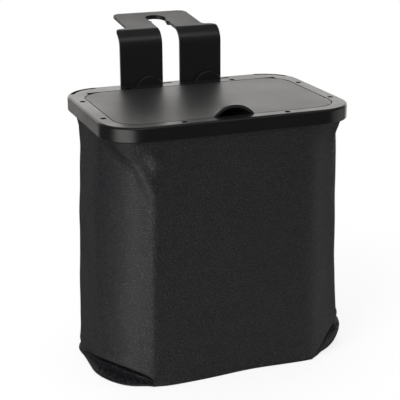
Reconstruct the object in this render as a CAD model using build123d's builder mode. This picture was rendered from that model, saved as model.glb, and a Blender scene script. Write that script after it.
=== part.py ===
"""Car litter bin that hangs from a headrest.

A faux-leather bag is clamped under a moulded rim, which carries a flap lid and a forked hanger.
Millimetres, +Z up. The origin is on the floor below the middle of the rim, and the front,
where the lid has its finger hood, faces -Y.
"""
import os
from math import cos, pi, radians, sin, sqrt, tan

from build123d import *

os.makedirs("parts", exist_ok=True)

# Rim: a rounded rail with a skirt, open in the middle
body_height = 243.0
rim_width = 230.0
rim_depth = 163.0
rim_corner = 33.5
rim_edge_round = 2.0
skirt_height = 13.0
skirt_wall = 2.2
skirt_lip_bevel = 0.6
plate_wall = 3.0
side_rail = 12.7
front_rail = 11.3
rear_rail = 22.1
opening_corner = 24.0
riser_wall = 1.8
ledge_width = 3.5
ledge_wall = 2.6
finger_well = 40.0

# Screws through the rail into the clamp ring
screw_head = 5.0
screw_shank = 2.6
screw_length = 10.6
screw_head_angle = 90.0
screw_cross = 2.8
screw_cross_slot = 0.7
screw_cross_depth = 0.8
screw_sink = 0.15
screw_clearance = 0.05
screw_inset = 4.7
side_screw_front = -38.5
side_screw_rear = 28.0
front_screw_spread = 47.2
rear_screw_spread = 52.8

# Clamp ring
ring_height = 6.6
ring_clearance = 0.3
ring_edge = 0.8

# Lid and its hinge
lid_thickness = 3.2
lid_gap = 0.8
lid_seat_gap = 0.2
lid_edge_round = 0.5
hinge_inset = 2.5
hinge_drop = 2.4
hinge_pin = 3.0
hinge_pin_clearance = 0.06
hinge_pin_length = 14.0
hinge_engagement = 4.0
hinge_sweep_clearance = 0.6
hinge_boss_wall = 2.2
lid_rib_inset = 7.0
lid_rib_wall = 1.8
lid_rib_height = 3.0
lid_cross_rib_spread = 52.0

# Finger hood: half of a spherical cap that stands on the lid's front edge
hood_half_width = 18.5
hood_height = 9.2
hood_wall = 2.4

# Hanger: two flat legs, a bend, and a plate with a keyhole
hanger_thickness = 2.4
hanger_half_width = 50.8
leg_gap = 17.6
leg_inset = 8.9
bend_radius = 15.0
plate_rise = 52.1
plate_tilt = 6.5
plate_half_width = 38.2
plate_length = 68.9
plate_corner = 8.0
shoulder_length = 16.9
shoulder_round = 7.5
shoulder_fillet = 4.5
shoulder_share = 0.96
keyhole_radius = 10.0
keyhole_length = 46.4
collar_wall = 2.6
collar_depth = 1.5
nub_radius = 3.0
nub_reach = 1.2
nub_length = 34.4
foot_width = 33.0
foot_depth = 11.0
foot_seat_gap = 0.15
barb_reach = 1.1
barb_height = 3.0
barb_width = 24.0
barb_gap = 0.3
hanger_offset = -6.6

# Slots and braces on the rear rail for the hanger's feet
slot_end_gap = 0.4
slot_side_gap = 0.4
brace_chord = 26.5
brace_height = 9.3
brace_thickness = 2.6
brace_gap = 1.2
brace_bevel = 0.6
corner_slot_width = 3.6
corner_slot_inset = 4.2
corner_slot_start = 26.0
corner_slot_sweep = 62.0

# Bag: flat in front and behind, where boards stiffen it, with a crease at each board's edge, from
# which the leather turns loosely round to the side; sides that spread towards the foot; turned-in hem
bag_wall = 2.2
bag_floor = 3.0
hem_wall = 1.5
hem_gap = 0.1
hem_skirt_gap = 0.5
neck_drop = 31.0
neck_steps = 4
neck_inset = 2.2
foot_spread = 4.5
board_inset = 7.0
crease_inset = 41.0
side_flat = 35.0
foot_round = 5.0
crease_least = 0.01

# Tucks at the four corners of the foot: a rolled hollow that leaves a lip on the floor
tuck_radius = 9.5
tuck_height = 11.5
tuck_depth = 12.0
tuck_turn = 25.0

# Heights and places that follow from the sizes above
rim_top = body_height
plate_bottom = rim_top - plate_wall
skirt_bottom = rim_top - skirt_height
rim_front = -rim_depth / 2
rim_back = rim_depth / 2
opening_width = rim_width - 2 * side_rail
opening_depth = rim_depth - front_rail - rear_rail
opening_y = (front_rail - rear_rail) / 2
opening_front = rim_front + front_rail
opening_back = rim_back - rear_rail
ledge_top = rim_top - lid_thickness - lid_seat_gap
ledge_bottom = ledge_top - ledge_wall
riser_grow = 2 * riser_wall
lid_width = opening_width - 2 * lid_gap
lid_depth = opening_depth - 2 * lid_gap
lid_corner = opening_corner - lid_gap
lid_front = opening_front + lid_gap
lid_back = opening_back - lid_gap
lid_bottom = rim_top - lid_thickness

# Hinge axis: inside the lid's rear edge, so the edge turns within its own gap
hinge_y = lid_back - hinge_inset
hinge_z = rim_top - hinge_drop
hinge_sweep = sqrt(hinge_inset**2 + hinge_drop**2) + hinge_sweep_clearance
socket_corner_y = opening_back - opening_corner
socket_x = opening_width / 2 - opening_corner + sqrt(opening_corner**2 - (hinge_y - socket_corner_y) ** 2)
lid_corner_x = lid_width / 2 - lid_corner
lid_corner_y = lid_back - lid_corner
sweep_x = lid_corner_x + sqrt(lid_corner**2 - (hinge_y - hinge_sweep - lid_corner_y) ** 2)
cove_end = sweep_x + hinge_sweep_clearance
pin_end = cove_end + hinge_engagement
socket_bore = hinge_pin / 2 + hinge_pin_clearance
socket_size = 2 * (socket_bore + hinge_boss_wall)
boss_width = pin_end + hinge_boss_wall - socket_x
boss_x = socket_x + boss_width / 2

# Hanger places, measured back from the front of its legs
leg_front = rim_back - leg_inset
shoulder_back = leg_front + shoulder_length
nub_back = leg_front + nub_length
keyhole_back = leg_front + keyhole_length
plate_back = leg_front + plate_length
leg_centre = (hanger_half_width + leg_gap / 2) / 2
shoulder_step = hanger_half_width - plate_half_width
shoulder_ease = min(1, shoulder_share * shoulder_step / (shoulder_round + shoulder_fillet))
bend_top = rim_top + plate_rise
plate_slope = tan(radians(plate_tilt))
foot_bottom = rim_top - foot_depth
foot_top = rim_top + foot_seat_gap
slot_length = foot_width + 2 * (slot_end_gap + abs(hanger_offset))
slot_width = hanger_thickness + 2 * slot_side_gap
slot_y = leg_front + hanger_thickness / 2
brace_back = leg_front - slot_side_gap - brace_gap
foot_room_front = leg_front - barb_reach - ring_clearance

# Hem and ring: ring outside the lid seat, hem round the ring, skirt round the hem
hem_width = rim_width - 2 * (skirt_wall + hem_skirt_gap)
hem_depth = rim_depth - 2 * (skirt_wall + hem_skirt_gap)
hem_corner = rim_corner - skirt_wall - hem_skirt_gap
hem_top = plate_bottom - hem_gap
hem_bottom = hem_top - hem_wall
ring_width = hem_width - 2 * (hem_wall + ring_clearance)
ring_depth = hem_depth - 2 * (hem_wall + ring_clearance)
ring_corner = hem_corner - hem_wall - ring_clearance
ring_top = hem_bottom - hem_gap
ring_bottom = ring_top - ring_height
seat_width = opening_width + riser_grow + 2 * ring_clearance
seat_depth = opening_depth + riser_grow + 2 * ring_clearance
seat_corner = opening_corner + riser_wall + ring_clearance
foot_room_depth = ring_depth / 2 - foot_room_front
boss_room_width = boss_width + 2 * ring_clearance
boss_room_depth = socket_size + 2 * ring_clearance

# Screw centres on the rail
side_screw_x = opening_width / 2 + screw_inset
front_screw_y = opening_front - screw_inset
rear_screw_y = opening_back + screw_inset
screw_points = []
for side in (-1, 1):
    screw_points.append((side * side_screw_x, side_screw_front))
    screw_points.append((side * side_screw_x, side_screw_rear))
    screw_points.append((side * front_screw_spread, front_screw_y))
    screw_points.append((side * rear_screw_spread, rear_screw_y))
screw_hole = screw_shank / 2 + screw_clearance

# Rim frame
with BuildPart() as rim_frame:
    with BuildSketch(Plane.XY.offset(skirt_bottom)):
        RectangleRounded(rim_width, rim_depth, rim_corner)
    extrude(amount=skirt_height)
    fillet(rim_frame.faces().sort_by(Axis.Z)[-1].outer_wire().edges(), radius=rim_edge_round)
    # Hollow under the rail
    with BuildSketch(Plane.XY.offset(skirt_bottom)):
        RectangleRounded(rim_width - 2 * skirt_wall, rim_depth - 2 * skirt_wall, rim_corner - skirt_wall)
    extrude(amount=skirt_height - plate_wall, mode=Mode.SUBTRACT)
    skirt_lip = rim_frame.faces().sort_by(Axis.Z)[0]
    chamfer(skirt_lip.edges(), length=skirt_lip_bevel)
    # Wall round the opening, with the bosses that hold the lid's pins
    with BuildSketch(Plane.XY.offset(ledge_bottom)):
        with Locations((0, opening_y)):
            RectangleRounded(
                opening_width + riser_grow, opening_depth + riser_grow, opening_corner + riser_wall
            )
    extrude(amount=plate_bottom - ledge_bottom)
    with BuildSketch(Plane.XY.offset(ledge_bottom)):
        for side in (-1, 1):
            with Locations((side * boss_x, hinge_y)):
                Rectangle(boss_width, socket_size)
    extrude(amount=plate_bottom - ledge_bottom)
    # Opening down to the lid's seat, then the mouth through it
    with BuildSketch(Plane.XY.offset(ledge_top)):
        with Locations((0, opening_y)):
            RectangleRounded(opening_width, opening_depth, opening_corner)
    extrude(amount=rim_top - ledge_top, mode=Mode.SUBTRACT)
    with BuildSketch(Plane.XY.offset(ledge_bottom)):
        with Locations((0, opening_y)):
            RectangleRounded(
                opening_width - 2 * ledge_width, opening_depth - 2 * ledge_width, opening_corner - ledge_width
            )
        with Locations((0, opening_front + ledge_width)):
            Rectangle(finger_well, 2 * ledge_width)
    extrude(amount=ledge_wall, mode=Mode.SUBTRACT)
    # Cove that clears the lid's turning rear edge, and the bores for its pins
    with BuildSketch(Plane.YZ.offset(-cove_end)):
        with Locations((hinge_y, hinge_z)):
            Circle(hinge_sweep)
    extrude(amount=2 * cove_end, mode=Mode.SUBTRACT)
    with BuildSketch(Plane.YZ.offset(-pin_end - hinge_pin_clearance)):
        with Locations((hinge_y, hinge_z)):
            Circle(socket_bore)
    extrude(amount=2 * (pin_end + hinge_pin_clearance), mode=Mode.SUBTRACT)
    # Half-round braces in front of the hanger's slots
    with BuildSketch(Plane.XZ.offset(-brace_back)):
        for side in (-1, 1):
            foot_left = (side * leg_centre - brace_chord / 2, rim_top)
            foot_right = (side * leg_centre + brace_chord / 2, rim_top)
            with BuildLine():
                ThreePointArc(foot_left, (side * leg_centre, rim_top + brace_height), foot_right)
                Polyline(
                    foot_right,
                    (foot_right[0], plate_bottom + plate_wall / 2),
                    (foot_left[0], plate_bottom + plate_wall / 2),
                    foot_left,
                )
            make_face()
    extrude(amount=brace_thickness)
    brace_arcs = rim_frame.edges().filter_by(GeomType.CIRCLE).filter_by(
        lambda edge: edge.center().Z > rim_top + brace_bevel
    )
    chamfer(brace_arcs, length=brace_bevel)
    # Slots for the hanger's feet, and curved slots in the rear corners
    with BuildSketch(Plane.XY.offset(rim_top)):
        with Locations((leg_centre, slot_y)):
            Rectangle(slot_length, slot_width)
        corner_arc = CenterArc(
            (rim_width / 2 - rim_corner, rim_back - rim_corner),
            rim_corner - corner_slot_inset,
            corner_slot_start,
            corner_slot_sweep,
            mode=Mode.PRIVATE,
        )
        SlotArc(corner_arc, corner_slot_width)
        mirror(about=Plane.YZ)
    extrude(amount=-plate_wall, mode=Mode.SUBTRACT)
    # Countersunk screw holes
    with Locations(*[(x, y, rim_top) for x, y in screw_points]):
        CounterSinkHole(
            screw_hole,
            screw_head / 2 + screw_sink + screw_clearance,
            depth=plate_wall,
            counter_sink_angle=screw_head_angle,
        )
rim_frame.part.label = "rim_frame"
export_step(rim_frame.part, "parts/rim_frame.step")

# Clamp ring under the hem
with BuildPart() as clamp_ring:
    with BuildSketch(Plane.XY.offset(ring_bottom)):
        RectangleRounded(ring_width, ring_depth, ring_corner)
        with Locations((0, opening_y)):
            RectangleRounded(seat_width, seat_depth, seat_corner, mode=Mode.SUBTRACT)
    extrude(amount=ring_height)
    chamfer(clamp_ring.faces().sort_by(Axis.Z)[0].outer_wire().edges(), length=ring_edge)
    # Room for the hanger's feet and for the hinge bosses
    with BuildSketch(Plane.XY.offset(ring_bottom)):
        for side in (-1, 1):
            with Locations((side * leg_centre, foot_room_front)):
                Rectangle(slot_length, foot_room_depth, align=(Align.CENTER, Align.MIN))
            with Locations((side * boss_x, hinge_y)):
                Rectangle(boss_room_width, boss_room_depth)
    extrude(amount=ring_height, mode=Mode.SUBTRACT)
    with Locations(*[(x, y, ring_top) for x, y in screw_points]):
        Hole(screw_hole, depth=ring_height)
clamp_ring.part.label = "clamp_ring"
export_step(clamp_ring.part, "parts/clamp_ring.step")

# Screws
with BuildPart() as rim_screws:
    head_height = (screw_head - screw_shank) / 2 / tan(radians(screw_head_angle / 2))
    screw_top = rim_top - screw_sink
    with Locations(*[(x, y, screw_top) for x, y in screw_points]):
        Cone(
            screw_shank / 2,
            screw_head / 2,
            head_height,
            align=(Align.CENTER, Align.CENTER, Align.MAX),
        )
        Cylinder(screw_shank / 2, screw_length, align=(Align.CENTER, Align.CENTER, Align.MAX))
        Box(
            screw_cross,
            screw_cross_slot,
            screw_cross_depth,
            align=(Align.CENTER, Align.CENTER, Align.MAX),
            mode=Mode.SUBTRACT,
        )
        Box(
            screw_cross_slot,
            screw_cross,
            screw_cross_depth,
            align=(Align.CENTER, Align.CENTER, Align.MAX),
            mode=Mode.SUBTRACT,
        )
rim_screws.part.label = "rim_screws"
export_step(rim_screws.part, "parts/rim_screws.step")

# Lid
hood_radius = (hood_half_width**2 + hood_height**2) / (2 * hood_height)
hood_inner = hood_radius - hood_wall
hood_sink = hood_radius - hood_height
rib_bottom = lid_bottom - lid_rib_height
well_radius = sqrt(hood_inner**2 - (hood_sink - lid_thickness) ** 2)
hood_plane = Plane(origin=(0, lid_front, rim_top), x_dir=(1, 0, 0), z_dir=(0, -1, 0))
hood_axis = Axis((0, lid_front, 0), (0, 0, 1))
with BuildPart() as lid:
    with BuildSketch(Plane.XY.offset(lid_bottom)):
        with Locations((0, opening_y)):
            RectangleRounded(lid_width, lid_depth, lid_corner)
    extrude(amount=lid_thickness)
    fillet(lid.faces().sort_by(Axis.Z)[-1].edges(), radius=lid_edge_round)
    # Ribs below: a frame, two cross ribs and a collar round the finger well
    rib_width = lid_width - 2 * lid_rib_inset
    rib_depth = lid_depth - 2 * lid_rib_inset
    rib_corner = lid_corner - lid_rib_inset
    with BuildSketch(Plane.XY.offset(rib_bottom)):
        with Locations((0, opening_y)):
            RectangleRounded(rib_width, rib_depth, rib_corner)
            RectangleRounded(
                rib_width - 2 * lid_rib_wall,
                rib_depth - 2 * lid_rib_wall,
                rib_corner - lid_rib_wall,
                mode=Mode.SUBTRACT,
            )
        with Locations((-lid_cross_rib_spread, opening_y), (lid_cross_rib_spread, opening_y)):
            Rectangle(lid_rib_wall, rib_depth)
    extrude(amount=lid_rib_height)
    with BuildSketch(hood_plane):
        with Locations((0, -lid_thickness)):
            Rectangle(well_radius + lid_rib_wall, lid_rib_height, align=(Align.MIN, Align.MAX))
    revolve(axis=hood_axis, revolution_arc=180)
    # Hood: the outer cap joins the lid, the inner one opens it right through
    with BuildSketch(hood_plane):
        with BuildLine():
            hood_arc = CenterArc((0, -hood_sink), hood_radius, 0, 90)
            Polyline(hood_arc @ 1, (0, -hood_sink), hood_arc @ 0)
        make_face()
        with Locations((0, -lid_thickness)):
            Rectangle(2 * hood_radius, hood_radius, align=(Align.CENTER, Align.MAX), mode=Mode.SUBTRACT)
    revolve(axis=hood_axis, revolution_arc=180)
    with BuildSketch(hood_plane):
        with BuildLine():
            well_arc = CenterArc((0, -hood_sink), hood_inner, 0, 90)
            Polyline(well_arc @ 1, (0, -hood_sink), well_arc @ 0)
        make_face()
        with Locations((0, -lid_thickness)):
            Rectangle(2 * hood_radius, hood_radius, align=(Align.CENTER, Align.MAX), mode=Mode.SUBTRACT)
            Rectangle(well_radius, lid_rib_height, align=(Align.MIN, Align.MAX))
    revolve(axis=hood_axis, revolution_arc=180, mode=Mode.SUBTRACT)
    # Stub pins at the rear corners
    for side in (-1, 1):
        with BuildSketch(Plane.YZ.offset(side * pin_end)):
            with Locations((hinge_y, hinge_z)):
                Circle(hinge_pin / 2)
        extrude(amount=-side * hinge_pin_length)
lid.part.label = "lid"
export_step(lid.part, "parts/lid.step")

# Hanger
with BuildPart() as hanger:
    bend_corner_z = bend_top - plate_slope * bend_radius
    plate_end_z = bend_corner_z + plate_slope * plate_length
    with BuildSketch(Plane.YZ.offset(hanger_offset - hanger_half_width)):
        with BuildLine():
            FilletPolyline(
                (leg_front, foot_bottom),
                (leg_front, bend_corner_z),
                (plate_back, plate_end_z),
                radius=bend_radius,
            )
            offset(amount=hanger_thickness, side=Side.RIGHT)
        make_face()
    extrude(amount=2 * hanger_half_width)
    # Collar and nubs under the plate, square to it
    plate_drop = hanger_thickness / cos(radians(plate_tilt))
    plate_middle_z = bend_corner_z + plate_slope * keyhole_length - plate_drop / 2
    plate_middle = Plane(
        origin=(hanger_offset, keyhole_back, plate_middle_z), x_dir=(1, 0, 0), z_dir=(0, plate_slope, -1)
    )
    nub_x = leg_gap / 2 + nub_radius - nub_reach
    nub_out = (keyhole_back - nub_back) / cos(radians(plate_tilt))
    with BuildSketch(plate_middle):
        Circle(keyhole_radius + collar_wall)
        with Locations((-nub_x, nub_out), (nub_x, nub_out)):
            Circle(nub_radius)
    extrude(amount=hanger_thickness / 2 + collar_depth)
    # Outline seen from above
    with BuildSketch(Plane.XY.offset(foot_bottom)) as outline:
        with BuildLine():
            right_side = Polyline(
                (hanger_offset, leg_front),
                (hanger_offset + hanger_half_width, leg_front),
                (hanger_offset + hanger_half_width, shoulder_back),
                (hanger_offset + plate_half_width, shoulder_back),
                (hanger_offset + plate_half_width, plate_back),
                (hanger_offset, plate_back),
            )
            mirror(right_side, about=Plane.YZ.offset(hanger_offset))
        make_face()
        corners = outline.vertices().group_by(Axis.Y)
        shoulder_points = corners[1].sort_by(lambda point: abs(point.X - hanger_offset))
        fillet(shoulder_points[2:], radius=shoulder_ease * shoulder_round)
        shoulder_points = outline.vertices().filter_by(
            lambda point: abs(abs(point.X - hanger_offset) - plate_half_width) < nub_reach
        ).filter_by(lambda point: point.Y < nub_back)
        fillet(shoulder_points, radius=shoulder_ease * shoulder_fillet)
        back_points = outline.vertices().filter_by(lambda point: abs(point.X - hanger_offset) > leg_gap)
        fillet(back_points.group_by(Axis.Y)[-1], radius=plate_corner)
    extrude(amount=plate_end_z + hanger_thickness - foot_bottom, mode=Mode.INTERSECT)
    # Gap between the legs, running into the keyhole past two snap nubs
    with BuildSketch(Plane.XY.offset(foot_bottom)):
        with Locations((hanger_offset, leg_front)):
            Rectangle(leg_gap, keyhole_length, align=(Align.CENTER, Align.MIN))
        with Locations((hanger_offset - nub_x, nub_back), (hanger_offset + nub_x, nub_back)):
            Circle(nub_radius, mode=Mode.SUBTRACT)
        with Locations((hanger_offset, keyhole_back)):
            Circle(keyhole_radius)
    extrude(amount=plate_end_z + hanger_thickness - foot_bottom, mode=Mode.SUBTRACT)
    # Feet: narrower than the legs, so that the legs stand on the rail
    with BuildSketch(Plane.XY.offset(foot_bottom)):
        with Locations((hanger_offset, slot_y)):
            Rectangle(2 * hanger_half_width, slot_width)
        with Locations((hanger_offset - leg_centre, slot_y), (hanger_offset + leg_centre, slot_y)):
            Rectangle(foot_width, slot_width, mode=Mode.SUBTRACT)
    extrude(amount=foot_top - foot_bottom, mode=Mode.SUBTRACT)
    # Barbs that catch below the rail
    barb_top = plate_bottom - barb_gap
    for side in (-1, 1):
        with BuildSketch(Plane.YZ.offset(hanger_offset + side * leg_centre)):
            with BuildLine():
                Polyline(
                    (leg_front, barb_top),
                    (leg_front - barb_reach, barb_top),
                    (leg_front, barb_top - barb_height),
                    close=True,
                )
            make_face()
        extrude(amount=barb_width / 2, both=True)
hanger.part.label = "hanger"
export_step(hanger.part, "parts/hanger.step")

# Bag: its plan is a rounded outline that the boards cut flat, which leaves the creases
neck_z = rim_top - neck_drop
board_depth = rim_depth - 2 * board_inset
bag_width = rim_width + 2 * foot_spread
neck_width = rim_width - 2 * neck_inset
turn_depth = (board_depth - side_flat) / 2
turn_radius = (crease_inset**2 + turn_depth**2) / (2 * crease_inset)
turn_overall = side_flat + 2 * turn_radius


def bag_plan(width, depth, rounded_depth, corner):
    """Draws the bag's outline at one height in the sketch that is being built."""
    RectangleRounded(width, rounded_depth, corner)
    if rounded_depth - depth > crease_least:
        Rectangle(width, depth, mode=Mode.INTERSECT)


# Neck levels: height, width, depth, rounded depth, corner and wall, eased from the trunk to the hem
neck_levels = []
for step in range(neck_steps + 1):
    share = step / neck_steps
    ease = (1 - cos(pi * share)) / 2
    neck_levels.append(
        (
            neck_z + share * (skirt_bottom - neck_z),
            neck_width + ease * (hem_width - neck_width),
            board_depth + ease * (hem_depth - board_depth),
            turn_overall + ease * (hem_depth - turn_overall),
            turn_radius + ease * (hem_corner - turn_radius),
            bag_wall + ease * (hem_wall - bag_wall),
        )
    )

# Tucks: straight rolls across the corners, deepest where the turn faces them
tuck_reach = turn_radius + tuck_radius - tuck_depth
tuck_planes = []
for side_x, side_y in ((1, 1), (-1, 1), (-1, -1), (1, -1)):
    tuck_out = Vector(side_x * cos(radians(tuck_turn)), side_y * sin(radians(tuck_turn)), 0)
    tuck_along = Vector(-tuck_out.Y, tuck_out.X, 0)
    turn_x = side_x * (bag_width / 2 - turn_radius)
    turn_centre = Vector(turn_x, side_y * side_flat / 2, tuck_height)
    tuck_planes.append(Plane(origin=turn_centre + tuck_out * tuck_reach, x_dir=tuck_out, z_dir=tuck_along))

# Space inside the bag, less the rolls of leather behind the tucks
with BuildPart() as bag_space:
    for height, width in ((bag_floor, bag_width), (neck_z, neck_width)):
        with BuildSketch(Plane.XY.offset(height)):
            bag_plan(
                width - 2 * bag_wall,
                board_depth - 2 * bag_wall,
                turn_overall - 2 * bag_wall,
                turn_radius - bag_wall,
            )
    loft(ruled=True)
    chamfer(bag_space.faces().sort_by(Axis.Z)[0].edges(), length=foot_round - bag_wall)
    for tuck_plane in tuck_planes:
        with BuildSketch(tuck_plane):
            Circle(tuck_radius + bag_wall)
        extrude(amount=board_depth / 2, both=True, mode=Mode.SUBTRACT)
    for height, width, depth, rounded_depth, corner, wall in neck_levels:
        with BuildSketch(Plane.XY.offset(height)):
            bag_plan(width - 2 * wall, depth - 2 * wall, rounded_depth - 2 * wall, corner - wall)
    loft()
    with BuildSketch(Plane.XY.offset(skirt_bottom)):
        RectangleRounded(hem_width - 2 * hem_wall, hem_depth - 2 * hem_wall, hem_corner - hem_wall)
    extrude(amount=hem_bottom - skirt_bottom)

# Bag
with BuildPart() as bag:
    # Outside: a trunk with a rounded foot, the neck, then the straight hem inside the skirt
    for height, width in ((0, bag_width), (neck_z, neck_width)):
        with BuildSketch(Plane.XY.offset(height)):
            bag_plan(width, board_depth, turn_overall, turn_radius)
    loft(ruled=True)
    fillet(bag.faces().sort_by(Axis.Z)[0].edges(), radius=foot_round)
    for height, width, depth, rounded_depth, corner, wall in neck_levels:
        with BuildSketch(Plane.XY.offset(height)):
            bag_plan(width, depth, rounded_depth, corner)
    loft()
    with BuildSketch(Plane.XY.offset(skirt_bottom)):
        RectangleRounded(hem_width, hem_depth, hem_corner)
    extrude(amount=hem_top - skirt_bottom)
    # Tucked corners
    for tuck_plane in tuck_planes:
        with BuildSketch(tuck_plane):
            Circle(tuck_radius)
        extrude(amount=board_depth / 2, both=True, mode=Mode.SUBTRACT)
    add(bag_space.part, mode=Mode.SUBTRACT)
    # Mouth in the hem, with room for the feet, the hinge bosses and the screws
    with BuildSketch(Plane.XY.offset(hem_bottom)):
        with Locations((0, opening_y)):
            RectangleRounded(seat_width, seat_depth, seat_corner)
        for side in (-1, 1):
            with Locations((side * leg_centre, foot_room_front)):
                Rectangle(slot_length, foot_room_depth, align=(Align.CENTER, Align.MIN))
            with Locations((side * boss_x, hinge_y)):
                Rectangle(boss_room_width, boss_room_depth)
        with Locations(*screw_points):
            Circle(screw_hole)
    extrude(amount=hem_wall, mode=Mode.SUBTRACT)
bag.part.label = "bag"
export_step(bag.part, "parts/bag.step")
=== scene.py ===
# %% [markdown]
# # A litter bin for a car
# The bin is a black faux-leather bag that hangs from a moulded rim, with a flap lid on top and a
# forked hanger behind. Its rigid pieces come from the CAD model and stay exactly as they are. This
# lesson gives them finishes, models the soft bag, and sets up the studio that they are seen in.

# %% Load the frame
from math import exp, pi, radians, sin

import bmesh
import bpy
from mathutils import Euler, Matrix, Vector, noise


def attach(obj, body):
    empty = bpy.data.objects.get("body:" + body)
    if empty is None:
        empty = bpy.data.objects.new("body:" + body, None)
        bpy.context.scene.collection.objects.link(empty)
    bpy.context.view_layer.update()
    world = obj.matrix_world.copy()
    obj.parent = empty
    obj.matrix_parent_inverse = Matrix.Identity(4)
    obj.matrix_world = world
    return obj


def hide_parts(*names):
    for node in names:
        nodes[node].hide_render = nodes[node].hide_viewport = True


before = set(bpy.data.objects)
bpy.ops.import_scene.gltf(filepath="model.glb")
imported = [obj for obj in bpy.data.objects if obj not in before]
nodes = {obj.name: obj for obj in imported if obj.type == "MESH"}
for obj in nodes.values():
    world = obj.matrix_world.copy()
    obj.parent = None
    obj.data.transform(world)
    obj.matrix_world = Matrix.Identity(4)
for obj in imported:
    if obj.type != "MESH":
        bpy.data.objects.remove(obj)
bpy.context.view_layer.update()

print("CAD nodes:", sorted(nodes))

# %% [markdown]
# ## Helpers for materials
# Colours are written as the sRGB hex values that a colour picker shows. Shaders work in linear
# light, so one function converts them. A second one adds a shader node, gives it its settings and
# socket values, and links it, which keeps each material below short enough to read in one go. A
# third starts a material from its Principled shader.

# %% Colour, node and material helpers
MM = 0.001


def linear(hex_colour):
    """Turns an sRGB hex colour into linear red, green, blue and alpha."""
    channels = [int(hex_colour[i : i + 2], 16) / 255 for i in (0, 2, 4)]
    return (*[c / 12.92 if c <= 0.04045 else ((c + 0.055) / 1.055) ** 2.4 for c in channels], 1.0)


def add_node(tree, kind, values=(), sources=(), **settings):
    """Adds a node with its settings, its socket values and the links that come into it."""
    node = tree.nodes.new(kind)
    for name, value in settings.items():
        setattr(node, name, value)
    for socket, value in dict(values).items():
        node.inputs[socket].default_value = value
    for socket, source in dict(sources).items():
        tree.links.new(source, node.inputs[socket])
    return node


def new_material(name, **values):
    """Starts a material from a Principled shader with these socket values."""
    material = bpy.data.materials.new(name)
    material.use_nodes = True
    shader = material.node_tree.nodes["Principled BSDF"]
    for socket, value in values.items():
        shader.inputs[socket.replace("_", " ")].default_value = value
    return material, material.node_tree, shader


print("black plastic in linear light:", [round(c, 4) for c in linear("0c0c0d")[:3]])

# %% [markdown]
# ## Moulded ABS
# The rim, the lid and the hanger are black ABS from a polished mould. To the eye that is a deep
# black with a satin gloss: it mirrors pale surroundings at a low angle, and a faint waviness, like
# the skin of an orange, softens the mirror image. The waviness is a bump of a few micrometres and
# the handling marks are a slow change of roughness. Both are noise on Object coordinates, scaled
# from real sizes, so that they stay where they are when a piece moves. A Bevel node rounds the
# sharp edges in the shading alone, because the CAD mesh stays as it is. The lid is handled most,
# and a dull coat over its gloss stands for the haze that hands leave.

# %% ABS finishes
hand_mark_mm = 38


def moulded_abs(name, colour, roughness, peel_mm, peel_height_mm, edge_mm, **coat):
    """Black moulded plastic with an orange-peel bump and patches of handling."""
    smoothest, dullest = roughness
    material, tree, shader = new_material(name, Base_Color=linear(colour), IOR=1.53, **coat)
    place = add_node(tree, "ShaderNodeTexCoord").outputs["Object"]
    hand_marks = add_node(
        tree, "ShaderNodeTexNoise", {"Scale": 1 / (hand_mark_mm * MM), "Detail": 4.0}, {"Vector": place}
    )
    rough = add_node(
        tree,
        "ShaderNodeMapRange",
        {"From Min": 0.35, "From Max": 0.68, "To Min": smoothest, "To Max": dullest},
        {"Value": hand_marks.outputs["Fac"]},
    )
    peel = add_node(
        tree, "ShaderNodeTexNoise", {"Scale": 1 / (peel_mm * MM), "Detail": 1.0}, {"Vector": place}
    )
    edges = add_node(tree, "ShaderNodeBevel", {"Radius": edge_mm * MM}, samples=6)
    bump = add_node(
        tree,
        "ShaderNodeBump",
        {"Strength": 1.0, "Distance": peel_height_mm * MM},
        {"Height": peel.outputs["Fac"], "Normal": edges.outputs["Normal"]},
    )
    tree.links.new(rough.outputs["Result"], shader.inputs["Roughness"])
    tree.links.new(bump.outputs["Normal"], shader.inputs["Normal"])
    return material


rim_abs = moulded_abs(
    "ABS, satin moulded, rim", "141415", (0.3, 0.36), peel_mm=1.6, peel_height_mm=0.004, edge_mm=0.8
)
lid_abs = moulded_abs(
    "ABS, satin moulded, lid",
    "1a1a1b",
    (0.41, 0.46),
    peel_mm=2.2,
    peel_height_mm=0.004,
    edge_mm=0.45,
    Coat_Weight=1.0,
    Coat_Roughness=0.62,
)
hanger_abs = moulded_abs(
    "ABS, fine matt moulded, hanger", "171718", (0.32, 0.4), peel_mm=0.9, peel_height_mm=0.006, edge_mm=0.7
)
ring_abs = moulded_abs(
    "ABS, plain moulded, clamp ring", "101011", (0.48, 0.58), peel_mm=1.2, peel_height_mm=0.008, edge_mm=0.4
)
print("plastics:", rim_abs.name, lid_abs.name, hanger_abs.name, ring_abs.name)

# %% [markdown]
# ## Blackened steel
# The countersunk screws are steel with a black oxide finish: a metal whose colour is nearly gone,
# with a dull sheen. A fine noise stands for the turning marks on the heads. Real marks are finer
# than a pixel, so they are drawn coarser.

# %% Screw steel
turning_mm = 0.4
turning_depth_mm = 0.02

screw_steel, tree, shader = new_material(
    "Steel, black oxide",
    Base_Color=linear("161617"),
    Metallic=1.0,
    Roughness=0.55,
    Specular_Tint=linear("3a3a3c"),
)
place = add_node(tree, "ShaderNodeTexCoord").outputs["Object"]
turning = add_node(
    tree, "ShaderNodeTexNoise", {"Scale": 1 / (turning_mm * MM), "Detail": 2.0}, {"Vector": place}
)
bump = add_node(
    tree,
    "ShaderNodeBump",
    {"Strength": 0.5, "Distance": turning_depth_mm * MM},
    {"Height": turning.outputs["Fac"]},
)
tree.links.new(bump.outputs["Normal"], shader.inputs["Normal"])
print("screws:", screw_steel.name)

# %% [markdown]
# ## Dress the CAD nodes
# The moulded pieces and the screws already have their true shapes in the CAD model. They could be
# modelled again, but that would only risk their fit, so each keeps its mesh and gets its finish by
# putting the new material in its material slots.

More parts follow.
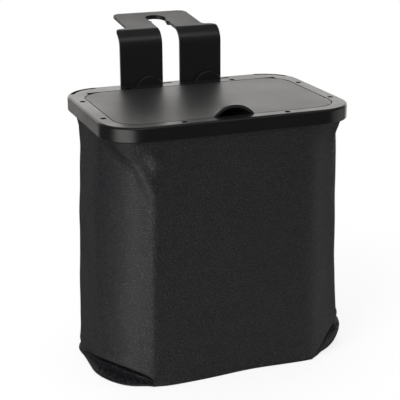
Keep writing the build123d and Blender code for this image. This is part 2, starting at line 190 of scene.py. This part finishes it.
# %% Materials on the CAD nodes
finishes = {
    "rim_frame": rim_abs,
    "lid": lid_abs,
    "hanger": hanger_abs,
    "clamp_ring": ring_abs,
    "rim_screws": screw_steel,
}
for node_name, finish in finishes.items():
    node = nodes[node_name]
    if not node.material_slots:
        node.data.materials.append(finish)
    for material_slot in node.material_slots:
        material_slot.material = finish
print("dressed:", list(finishes))

# %% [markdown]
# ## Faux leather
# The bag is polyurethane leather: black, embossed with a pebble grain, and sealed by a thin film.
# The pebbles are flat ovals, about a millimetre high and two wide. At this picture's scale that is
# hardly one pixel, so the grain is drawn about twice as coarse, and deeper. A Voronoi pattern gives
# the creases between the pebbles, its coordinates bent by noise so that no two pebbles match, and a
# second noise adds the fine pores.

# %% Pebble grain
pebble_mm = 1.7
pebble_squeeze = (0.5, 0.5, 1.0)
pore_mm = 1.6
bend_mm = 4
bend_reach_mm = 2.4

leather, tree, shader = new_material(
    "PU leather, embossed pebble grain", IOR=1.45, Coat_Roughness=0.5, Coat_IOR=1.55
)
shader.distribution = "GGX"
place = add_node(tree, "ShaderNodeTexCoord").outputs["Object"]
bend = add_node(tree, "ShaderNodeTexNoise", {"Scale": 1 / (bend_mm * MM), "Detail": 2.0}, {"Vector": place})
bend_size = add_node(
    tree,
    "ShaderNodeVectorMath",
    {1: (bend_reach_mm * MM,) * 3},
    {0: bend.outputs["Color"]},
    operation="MULTIPLY",
)
bent = add_node(
    tree, "ShaderNodeVectorMath", (), {0: place, 1: bend_size.outputs["Vector"]}, operation="ADD"
)
wide = add_node(
    tree, "ShaderNodeVectorMath", {1: pebble_squeeze}, {0: bent.outputs["Vector"]}, operation="MULTIPLY"
)
pebbles = add_node(
    tree,
    "ShaderNodeTexVoronoi",
    {"Scale": 1 / (pebble_mm * MM)},
    {"Vector": wide.outputs["Vector"]},
    feature="DISTANCE_TO_EDGE",
)
pebble_tops = add_node(
    tree,
    "ShaderNodeMapRange",
    {"From Min": 0.0, "From Max": 0.34},
    {"Value": pebbles.outputs["Distance"]},
    interpolation_type="SMOOTHSTEP",
)
pores = add_node(
    tree,
    "ShaderNodeTexNoise",
    {"Scale": 1 / (pore_mm * MM), "Detail": 2.0},
    {"Vector": wide.outputs["Vector"]},
)
relief = add_node(
    tree,
    "ShaderNodeMath",
    {1: 0.7},
    {0: pores.outputs["Fac"], 2: pebble_tops.outputs["Result"]},
    operation="MULTIPLY_ADD",
)
print("pebbles:", pebble_mm, "mm high and", pebble_mm / pebble_squeeze[0], "mm wide")

# %% [markdown]
# The colour goes between two near blacks, chosen by the relief and a slow noise together. The
# relief makes the creases between the pebbles darker and their tops paler, which is painted shade.
# The slow noise adds real handling marks, paler where the bag is handled most.

# %% Leather colour, with painted shade in the creases
handling_mm = 60

handling = add_node(
    tree, "ShaderNodeTexNoise", {"Scale": 1 / (handling_mm * MM), "Detail": 5.0}, {"Vector": place}
)
# painted shade: the relief darkens the creases; the slow noise adds real handling marks
handling_and_relief = add_node(
    tree,
    "ShaderNodeMath",
    {1: 0.3},
    {0: handling.outputs["Fac"], 2: relief.outputs["Value"]},
    operation="MULTIPLY_ADD",
)
crease_shade_and_handling = add_node(
    tree, "ShaderNodeMapRange", {"From Min": 0.7, "From Max": 1.45}, {"Value": handling_and_relief.outputs["Value"]}
)
# painted shade: dark colour in the creases between the pebbles, pale colour on their tops
shade = add_node(
    tree,
    "ShaderNodeMix",
    {"A": linear("0c0c0e"), "B": linear("2e2e34")},
    {"Factor": crease_shade_and_handling.outputs["Result"]},
    data_type="RGBA",
)
tree.links.new(shade.outputs[2], shader.inputs["Base Color"])
print("handling marks:", handling_mm, "mm across")

# %% [markdown]
# The matt ground carries the whole relief. The film fills it partly, so it is the shader's coat,
# with a weaker bump of its own, and its sheen stays smooth. Seen at a low angle the pebbles hide
# each other's gloss, so Layer Weight makes the ground rougher there, and the film weaker.

# %% Leather gloss
ground_depth_mm = 0.9
film_depth_mm = 0.15

ground_rough = add_node(
    tree, "ShaderNodeMapRange", {"To Min": 0.8, "To Max": 0.6}, {"Value": pebble_tops.outputs["Result"]}
)
low_angle = add_node(tree, "ShaderNodeLayerWeight", {"Blend": 0.5})
hidden_gloss = add_node(
    tree,
    "ShaderNodeMapRange",
    {"From Min": 0.45, "From Max": 0.85, "To Max": 0.45},
    {"Value": low_angle.outputs["Facing"]},
)
ground_seen = add_node(
    tree,
    "ShaderNodeMath",
    (),
    {0: ground_rough.outputs["Result"], 1: hidden_gloss.outputs["Result"]},
    operation="ADD",
)
film_weight = add_node(
    tree,
    "ShaderNodeMapRange",
    {"From Min": 0.4, "From Max": 0.8, "To Min": 0.7, "To Max": 0.2},
    {"Value": low_angle.outputs["Facing"]},
)
ground_bump = add_node(
    tree,
    "ShaderNodeBump",
    {"Strength": 1.0, "Distance": ground_depth_mm * MM},
    {"Height": relief.outputs["Value"]},
)
film_bump = add_node(
    tree,
    "ShaderNodeBump",
    {"Strength": 1.0, "Distance": film_depth_mm * MM},
    {"Height": relief.outputs["Value"]},
)
tree.links.new(ground_seen.outputs["Value"], shader.inputs["Roughness"])
tree.links.new(ground_bump.outputs["Normal"], shader.inputs["Normal"])
tree.links.new(film_weight.outputs["Result"], shader.inputs["Coat Weight"])
tree.links.new(film_bump.outputs["Normal"], shader.inputs["Coat Normal"])
print("leather:", leather.name, "with", len(tree.nodes), "nodes")

# %% [markdown]
# ## Lining
# Inside, the bag has a plain polyester lining: dark, matt, with the slight sheen of fibres. Its
# threads are far too fine to show, so a Wave pattern draws ribs of about 7.5 mm instead. A Wave
# repeats 20 times in 2 pi units, and its scale is worked out from that.

# %% Lining
rib_mm = 2.4 * pi
rib_height_mm = 0.15

lining, tree, shader = new_material(
    "Polyester lining, plain weave", Base_Color=linear("17171a"), Roughness=0.85, Sheen_Weight=0.15
)
place = add_node(tree, "ShaderNodeTexCoord").outputs["Object"]
threads = add_node(
    tree,
    "ShaderNodeTexWave",
    {"Scale": 2 * pi / (20 * rib_mm * MM), "Distortion": 1.0, "Detail": 1.0},
    {"Vector": place},
    bands_direction="Z",
)
bump = add_node(
    tree,
    "ShaderNodeBump",
    {"Strength": 0.4, "Distance": rib_height_mm * MM},
    {"Height": threads.outputs["Fac"]},
)
tree.links.new(bump.outputs["Normal"], shader.inputs["Normal"])
print("lining:", lining.name)

# %% [markdown]
# ## The bag, as a loft
# The bag is one skin: a floor, walls that lean in a little towards the neck, and a hem that goes up
# inside the rim's skirt. Boards behind the leather keep the front and the back flat, so a crease
# runs down where each board ends, and from there the leather turns loosely round to the side. The
# outline starts as eight vertices, four at the creases and four where the corners would be. A
# vertex bevel rounds those four and leaves the creases sharp. The outline is then pulled up ring by
# ring into a straight tube, and every ring gets its own size and height afterwards. That is easier
# to steer than a box that is bent into shape. Sizes here are in millimetres.

# %% Outline of the bag
half_width = 119.5
half_depth = 74.5
crease = 78.5
corner_depth = 51.5
corner_turn = 34.0
cell = 3.2

bag = bmesh.new()
for x, y in (
    (-crease, -half_depth),
    (crease, -half_depth),
    (half_width, -corner_depth),
    (half_width, corner_depth),
    (crease, half_depth),
    (-crease, half_depth),
    (-half_width, corner_depth),
    (-half_width, -corner_depth),
):
    bag.verts.new((x, y, 0))
bag.faces.new(bag.verts)
bmesh.ops.bevel(
    bag,
    geom=[vert for vert in bag.verts if abs(vert.co.x) > crease + 1],
    offset=corner_turn,
    offset_type="OFFSET",
    segments=22,
    profile=0.5,
    affect="VERTICES",
    material=-1,
)
for edge in [edge for edge in bag.edges if edge.calc_length() > 3 * cell]:
    bmesh.ops.subdivide_edges(bag, edges=[edge], cuts=round(edge.calc_length() / cell) - 1)
print("outline:", len(bag.verts), "vertices")

# %% [markdown]
# The foot has three profiles, each a list of steps outwards and up. Along the boards it is a plain
# edge. At the corners the leather is tucked in above a thin lip on the floor, as on a wrapped
# parcel, and the wall hangs over the tuck. One of the corners has puffed out into a pouch instead.
# All three have as many steps, so that a point can go part of the way from one to another.

# %% Profiles of the foot
plain_foot = [(-4.0, 0.0), (-2.5, 0.0), (-1.2, 0.0), (-0.2, 0.4), (0.0, 1.6)]
plain_foot += [(0.0, 2.2 + 0.42 * step) for step in range(7)]
plain_foot += [(0.0, 5.4), (0.0, 6.4), (0.0, 8.0), (0.0, 11.0), (0.0, 16.0), (0.0, 23.0), (0.0, 33.0)]

tucked_foot = [(-4.0, 0.0), (-2.5, 0.0), (-1.0, 0.0), (0.3, 0.6), (-0.3, 2.2)]
tucked_foot += [(-9.0, 3.0), (-16.0, 5.0), (-11.5, 9.2), (-5.5, 11.6), (-9.0, 12.2)]
tucked_foot += [(-18.0, 11.7), (-17.0, 20.6), (-0.2, 20.0), (0.8, 20.7), (1.3, 21.8)]
tucked_foot += [(1.4, 23.6), (1.0, 26.5), (0.4, 30.0), (0.0, 33.0)]

pouch_foot = [(-14.0, 0.0), (-9.0, 0.0), (-5.0, 0.3), (-3.0, 1.6), (-0.6, 5.0)]
pouch_foot += [(1.4, 9.5), (2.8, 14.0), (3.4, 18.5), (2.4, 22.0), (-4.0, 23.0)]
pouch_foot += [(-16.0, 23.0), (-16.0, 28.6), (-0.4, 28.8), (0.6, 29.3), (1.0, 29.9)]
pouch_foot += [(1.1, 30.6), (0.8, 31.6), (0.4, 32.8), (0.0, 34.0)]
print("steps of the foot:", len(plain_foot), len(tucked_foot), len(pouch_foot))

# %% [markdown]
# Above the foot the rings are evenly spaced up the wall, and closer at the neck, where the leather
# bends most. Each extrude pulls the last ring up by one unit, so a vertex's height in the tube is
# the number of its ring.

# %% Rings of the bag
foot_top, neck_height, hem_height, hem_top = 33.0, 210.0, 230.0, 238.0
wall_steps = 54
neck_steps = 10
heights = [
    foot_top + (neck_height - foot_top) * step / wall_steps for step in range(1, wall_steps + 1)
]
heights += [
    neck_height + (hem_height - neck_height) * step / neck_steps for step in range(1, neck_steps + 1)
]
heights += [(hem_height + hem_top) / 2, hem_top]

ring_count = len(plain_foot) + len(heights)
ring = bag.edges[:]
for step in range(1, ring_count):
    pulled = bmesh.ops.extrude_edge_only(bag, edges=ring)["geom"]
    ring = [item for item in pulled if isinstance(item, bmesh.types.BMEdge)]
    points = [item for item in pulled if isinstance(item, bmesh.types.BMVert)]
    bmesh.ops.translate(bag, vec=(0, 0, 1), verts=points)
bmesh.ops.recalc_face_normals(bag, faces=bag.faces)
bag.normal_update()
print("tube:", ring_count, "rings,", len(bag.faces), "faces")

# %% [markdown]
# ## Tucks, folds and slack
# Each vertex knows its ring from its height in the tube, and its outward direction from its
# normal. The foot follows the three profiles. The walls follow the lean of the bag, the neck spreads
# to the rounded rim, and folds run from the rim's corners down to the creases. Slow noise stands
# for the slack between the boards. A cloth simulation could fold the bag too, but it would pull the
# flat boards out of shape, and its folds could not be put where the real ones are.


# %% Helpers for smooth moves
def ease(share):
    """Goes smoothly from 0 to 1."""
    share = min(max(share, 0.0), 1.0)
    return share * share * (3 - 2 * share)


def bell(distance, spread):
    """A smooth bump that is 1 at no distance and fades over the spread."""
    return exp(-((distance / spread) ** 2))


def fold(place, start, end, height, spread):
    """Height of a soft fold that runs from start to end, fading at both."""
    along = Vector(end) - Vector(start)
    share = (place - Vector(start)).dot(along) / along.length_squared
    near = Vector(start) + along * min(max(share, 0.0), 1.0)
    return height * bell((place - near).length, spread)


print("a bell at half its spread:", round(bell(0.5, 1.0), 3))

# %% [markdown]
# A tuck runs across a corner, from the end of a board to a place on the side. It is widest open
# nearer to the board, and closed at both ends. The pouch starts further round its corner. Between
# the corners the front's foot bows in a little, because the board stops just above the floor.

# %% Foot and walls
lean = 0.056
front_tuck_end = 14.0
rear_tuck_end = 24.0
tuck_start = Vector((crease - 1.5, half_depth))
pouch_start = Vector((90.0, 68.5))
board_front = -70.0
foot_bow = 3.2


def tuck(x, y):
    """How open the nearest corner tuck is here, from 0 to 1."""
    in_front = y < front_tuck_end
    depth, end_depth = (-y, -front_tuck_end) if in_front else (y, rear_tuck_end)
    start = pouch_start if in_front and x > 0 else tuck_start
    chord = Vector((half_width, end_depth)) - start
    share = (Vector((abs(x), depth)) - start).dot(chord) / chord.length_squared
    return sin(pi * share**0.75) ** 0.8 if 0 < share < 1 else 0.0


def foot_or_wall(x, y, ring_number, outward):
    """Where a point of the tube goes on the foot's profile, or on the wall above it."""
    if ring_number < len(plain_foot):
        full = pouch_foot if x > 0 and y < 0 else tucked_foot
        out, z = Vector(plain_foot[ring_number]).lerp(Vector(full[ring_number]), tuck(x, y))
        place = Vector((x, y, 0)) + outward * out
        place.z = z
    else:
        z = heights[ring_number - len(plain_foot)]
        place = Vector((x, y, z))
    place.x *= 1 - lean * z / neck_height
    if y < board_front:
        place.y += foot_bow * bell(x - 18, 34) * bell(z, 16)
    return place, z


def fullness(x, y, z):
    """How far the wall above the pouch stands out, and the foot beside a tuck is drawn in."""
    if y >= 0:
        return 0.0
    if x > 0:
        above_pouch = (4.6 + 1.6 * bell(z - 20, 40)) * bell(-y - 42, 24) * ease((x - crease) / 30)
        return above_pouch - 2.0 * bell(x - 92, 10) * bell(z, 8)
    return -3.5 * bell(-x - crease - 4, 13) * bell(z, 9)


print("top of the wall:", round(half_width * (1 - lean), 1), "mm from the middle")

# %% [markdown]
# The rim is a rectangle with round corners, so the nearest place on it is a corner's radius away
# from an inner rectangle. The neck starts to spread lower down at the corners, where the leather
# has furthest to go.

# %% Neck
rim_half = Vector((112.2, 78.7))
rim_corner = 31.0
neck_start = 213
corner_neck_drop = 10
spread_top = 237.0


def on_rim(x, y):
    """The nearest place on the rounded rim for a point of the outline."""
    core = rim_half - Vector((rim_corner, rim_corner))
    inner = Vector((min(max(x, -core.x), core.x), min(max(y, -core.y), core.y)))
    reach = Vector((x, y)) - inner
    return inner + reach.normalized() * rim_corner


def neck_spread(x, y, z):
    """How far the leather has gone from the wall to the rim, from 0 to 1."""
    start = neck_start - corner_neck_drop * bell(abs(x) - 98, 16) * bell(abs(y) - 66, 16)
    return ease((z - start) / (spread_top - start))


print("rim corner starts at x", rim_half.x - rim_corner)

# %% [markdown]
# The folds at the neck are the same at all four corners, but they are deepest at the left front. The
# side on the left has one more, low down, where the tuck behind it pulls.

# %% Folds and slack
neck_folds = (
    ((crease - 1, half_depth, 180), (103, 62, 226), 3.4, 6.5),
    ((crease - 5, half_depth, 208), (92, 68, 228), 2.4, 4.5),
    ((91, 66, 196), (97, 62, 220), -1.0, 5.0),
)
side_fold = ((-half_width, 32, 12), (-half_width, -13, 20), 1.2, 2.2)
other_corners = 0.45
slack_mm = 58
ripple_mm = 25
gather_mm = 10


def looseness(x, y, z):
    """How far the leather's folds and slack stand out from the plain wall."""
    loose = ease((z - 16) / 24) * ease((229 - z) / 14)
    on_side = ease((abs(x) - crease) / 22)
    slack = noise.noise(Vector((x, y, z)) / slack_mm)
    slack += 0.5 * noise.noise(Vector((x + 300, y, z)) / ripple_mm)
    move = slack * loose * (0.35 + 0.85 * on_side)
    depth = loose if x <= 0 and y < 0 else loose * other_corners
    for start, end, height, spread in neck_folds:
        move += fold(Vector((abs(x), abs(y), z)), start, end, height, spread) * depth
    along = x if abs(y) > 66 else y
    gathers = noise.noise(Vector((along / gather_mm, 7.0 if x > 0 else -7.0, z / 50)))
    move += 1.3 * gathers * bell(z - 214, 12) * on_side
    if x <= 0:
        move += fold(Vector((x, y, z)), *side_fold)
        move += 2.2 * bell(y - 32, 14) * bell(z, 5)
    return move


print("folds at each corner of the neck:", len(neck_folds))

# %% [markdown]
# Now every vertex goes to its place. All places are worked out first, because a moved vertex would
# no longer tell its ring. The crease at the right front has gone soft, so it is smoothed, but only
# sideways, which leaves each ring at its height.

# %% Shape the skin
smoothing_rounds = 30

places = []
for vert in bag.verts:
    x, y, ring_number = vert.co.x, vert.co.y, round(vert.co.z)
    outward = Vector((vert.normal.x, vert.normal.y, 0)).normalized()
    place, z = foot_or_wall(x, y, ring_number, outward)
    place += outward * fullness(x, y, z)
    place.xy = place.xy.lerp(on_rim(x, y), neck_spread(x, y, z))
    places.append(place + outward * looseness(x, y, z))
for vert, place in zip(bag.verts, places):
    vert.co = place

soft_crease = [
    vert for vert in bag.verts if 58 < vert.co.x < 92 and vert.co.y < -50 and vert.co.z > 0.5
]
for _ in range(smoothing_rounds):
    bmesh.ops.smooth_vert(
        bag, verts=soft_crease, factor=0.5, use_axis_x=True, use_axis_y=True, use_axis_z=False
    )
bag.normal_update()
print("bag box:", [round(max(abs(place[i]) for place in places), 1) for i in range(3)])

# %% [markdown]
# The skin becomes an object in metres. Solidify gives it the thickness of leather on its lining,
# inwards, with the lining as the second material.

# %% Bag object
skin_wall = 1.3
bmesh.ops.scale(bag, vec=(MM, MM, MM), verts=bag.verts)
for face in bag.faces:
    face.smooth = True
skin_area = sum(face.calc_area() for face in bag.faces)
bag_mesh = bpy.data.meshes.new("bag_skin")
bag.to_mesh(bag_mesh)
bag.free()
bag_mesh.materials.append(leather)
bag_mesh.materials.append(lining)
bag_skin = bpy.data.objects.new("bag_skin", bag_mesh)
bpy.context.scene.collection.objects.link(bag_skin)
thickness = bag_skin.modifiers.new("Thickness", "SOLIDIFY")
thickness.thickness = skin_wall * MM
thickness.offset = -1.0
thickness.material_offset = 1
thickness.material_offset_rim = 0

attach(bag_skin, "body")
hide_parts("bag")
print("skin area:", round(skin_area, 4), "square metres")

# %% [markdown]
# ## Camera
# The camera stands to the left of the front, above the lid, and looks down at the bin with a long
# lens, so that upright edges stay nearly parallel. Its place, turn and lens were worked out from
# where the rim's corners and the foot should come in the picture, not by eye.

# %% Camera
yaw, pitch, roll = radians(20.78), radians(18.43), radians(0.29)
camera_data = bpy.data.cameras.new("camera")
camera_data.sensor_width = 36.0
camera_data.lens = 98.86
camera = bpy.data.objects.new("camera", camera_data)
camera.location = (-0.3509, -0.9102, 0.4705)
aim = Euler((pi / 2 - pitch, 0, -yaw)).to_matrix() @ Matrix.Rotation(-roll, 3, "Z")
camera.rotation_euler = aim.to_euler()
bpy.context.scene.collection.objects.link(camera)
bpy.context.scene.camera = camera
print("camera at", tuple(round(c, 3) for c in camera.location))

# %% [markdown]
# ## Studio
# A gloss black object shows its surroundings more than its own colour. Here they are a pale
# backdrop behind it with a narrow strip of wall low at its left, a strong soft box to the left of
# the camera, a weak one to the right, a wide one high in front, and a dark room in between. They
# could be lamps and cards around the bin. The world holds them instead, as patches with soft edges
# by the direction of a ray, so that they mirror without noise.

# %% World: patches around the bin
room_light = 0.05

world = bpy.data.worlds.new("studio")
bpy.context.scene.world = world
world.use_nodes = True
tree = world.node_tree
tree.nodes.clear()
ray = add_node(tree, "ShaderNodeTexCoord").outputs["Generated"]


def soft_edge(direction, start, end, before, after):
    """Goes smoothly from one brightness to another as a ray turns towards a direction."""
    turned = add_node(tree, "ShaderNodeVectorMath", {1: direction}, {0: ray}, operation="DOT_PRODUCT")
    edge = add_node(
        tree,
        "ShaderNodeMapRange",
        {"From Min": start, "From Max": end, "To Min": before, "To Max": after},
        {"Value": turned.outputs["Value"]},
        interpolation_type="SMOOTHSTEP",
    )
    return edge.outputs["Result"]


backdrop_sides = soft_edge((0.309, 0.951, 0.0), 0.66, 0.78, 0.0, 1.0)
backdrop_top = soft_edge((0.0, 0.0, 1.0), 0.16, 0.53, 2.2, 0.0)
backdrop_foot = soft_edge((0.35, 0.0, 1.0), -0.15, 0.03, 0.0, 1.0)
left_wall = soft_edge((-0.25, 0.945, -0.215), 0.98, 0.994, 0.0, 0.7)
left_box = soft_edge((-0.755, -0.595, -0.28), 0.82, 0.95, 0.0, 2.3)
right_box = soft_edge((0.93, -0.22, -0.29), 0.85, 0.96, 0.0, 0.65)
high_box_foot = soft_edge((0.0, 0.0, 1.0), 0.54, 0.7, 0.0, 1.2)
high_box_back = soft_edge((0.0, 1.0, 0.0), -0.62, -0.35, 1.0, 0.0)
print("edges of the patches:", sum(node.type == "MAP_RANGE" for node in tree.nodes))

# %% [markdown]
# The edges of one patch are multiplied, because a ray has to be inside all of them. The patches are
# added to each other and to the little light of the room.

# %% World: what gloss reflects
both_boxes = add_node(tree, "ShaderNodeMath", (), {0: left_box, 1: right_box}, operation="ADD")
sides = add_node(
    tree, "ShaderNodeMath", (), {0: both_boxes.outputs["Value"], 1: left_wall}, operation="ADD"
)
backdrop = add_node(
    tree, "ShaderNodeMath", (), {0: backdrop_sides, 1: backdrop_top}, operation="MULTIPLY"
)
all_round = add_node(
    tree,
    "ShaderNodeMath",
    (),
    {0: backdrop.outputs["Value"], 1: backdrop_foot, 2: sides.outputs["Value"]},
    operation="MULTIPLY_ADD",
)
surroundings = add_node(
    tree,
    "ShaderNodeMath",
    (),
    {0: high_box_foot, 1: high_box_back, 2: all_round.outputs["Value"]},
    operation="MULTIPLY_ADD",
)
with_room = add_node(
    tree, "ShaderNodeMath", {1: room_light}, {0: surroundings.outputs["Value"]}, operation="ADD"
)
print("nodes that add up the patches:", sum(node.type == "MATH" for node in tree.nodes))

# %% [markdown]
# Light Path tells the kinds of ray apart. Gloss sees the patches, matt surfaces get an even light,
# and the camera itself sees plain white, which lights nothing.

# %% World: what each kind of ray sees
matt_light = 0.18
white = linear("ffffff")

path = add_node(tree, "ShaderNodeLightPath")
mirrored = add_node(
    tree,
    "ShaderNodeMath",
    (),
    {0: path.outputs["Is Glossy Ray"], 1: path.outputs["Is Transmission Ray"]},
    operation="MAXIMUM",
)
even_light = add_node(tree, "ShaderNodeBackground", {"Color": white, "Strength": matt_light})
in_gloss = add_node(
    tree, "ShaderNodeBackground", {"Color": linear("fffdf9")}, {"Strength": with_room.outputs["Value"]}
)
in_camera = add_node(tree, "ShaderNodeBackground", {"Color": white, "Strength": 1.0})
gloss_or_light = add_node(
    tree,
    "ShaderNodeMixShader",
    (),
    {0: mirrored.outputs["Value"], 1: even_light.outputs["Background"], 2: in_gloss.outputs["Background"]},
)
whole = add_node(
    tree,
    "ShaderNodeMixShader",
    (),
    {
        0: path.outputs["Is Camera Ray"],
        1: gloss_or_light.outputs["Shader"],
        2: in_camera.outputs["Background"],
    },
)
add_node(tree, "ShaderNodeOutputWorld", (), {"Surface": whole.outputs["Shader"]})
print("world:", len(tree.nodes), "nodes")

# %% [markdown]
# ## Floor
# The bin stands on white paper that hardly shows. A plane would end in a line across the picture,
# so the floor is a round mat, mostly clear, that keeps a faint shadow and fades out at its edge. It
# lies a hair below the foot, because two faces in one place would flicker.

# %% Floor
mat_radius = 0.45
mat_drop_mm = 0.3
mat_strength = 0.16

floor_bm = bmesh.new()
bmesh.ops.create_circle(floor_bm, cap_ends=True, segments=96, radius=mat_radius)
bmesh.ops.translate(floor_bm, vec=(0, 0, -mat_drop_mm * MM), verts=floor_bm.verts)
floor_mesh = bpy.data.meshes.new("floor")
floor_bm.to_mesh(floor_mesh)
floor_bm.free()
floor = bpy.data.objects.new("floor", floor_mesh)
bpy.context.scene.collection.objects.link(floor)

mat_white, tree, shader = new_material("Paper, matt white", Base_Color=linear("f6f6f6"), Roughness=0.9)
place = add_node(tree, "ShaderNodeTexCoord").outputs["Object"]
distance = add_node(tree, "ShaderNodeVectorMath", (), {0: place}, operation="LENGTH")
fade = add_node(
    tree,
    "ShaderNodeMapRange",
    {
        "From Min": 0.45 * mat_radius,
        "From Max": 0.95 * mat_radius,
        "To Min": mat_strength,
        "To Max": 0.0,
    },
    {"Value": distance.outputs["Value"]},
    interpolation_type="SMOOTHSTEP",
)
clear = add_node(tree, "ShaderNodeBsdfTransparent")
blended = add_node(
    tree,
    "ShaderNodeMixShader",
    (),
    {0: fade.outputs["Result"], 1: clear.outputs["BSDF"], 2: shader.outputs["BSDF"]},
)
tree.links.new(blended.outputs["Shader"], tree.nodes["Material Output"].inputs["Surface"])
floor_mesh.materials.append(mat_white)
print("floor mat:", 2 * mat_radius, "m across")

# %% [markdown]
# ## Lamps
# Three square lamps shape the matt surfaces: one from the left, a weak one from the right and one
# from above. Gloss doesn't see them, because the world's patches already stand for their images.

# %% Lamps
bin_middle = Vector((0, 0, 0.14))


def soft_box(name, place, size, watts):
    """A square lamp that looks at the middle of the bin, for matt light only."""
    data = bpy.data.lights.new(name, "AREA")
    data.shape = "SQUARE"
    data.size = size
    data.energy = watts
    lamp = bpy.data.objects.new(name, data)
    lamp.location = place
    lamp.rotation_euler = (bin_middle - Vector(place)).to_track_quat("-Z", "Y").to_euler()
    lamp.visible_glossy = False
    bpy.context.scene.collection.objects.link(lamp)
    return lamp


lamps = [
    soft_box("left_box", (-1.05, -0.68, 0.9), size=0.9, watts=20),
    soft_box("right_box", (1.3, -0.8, 0.7), size=0.9, watts=2.5),
    soft_box("top_box", (0.1, 0.3, 1.7), size=1.3, watts=22),
]
bpy.context.scene.view_settings.view_transform = "Standard"
print("lamps:", [lamp.name for lamp in lamps])
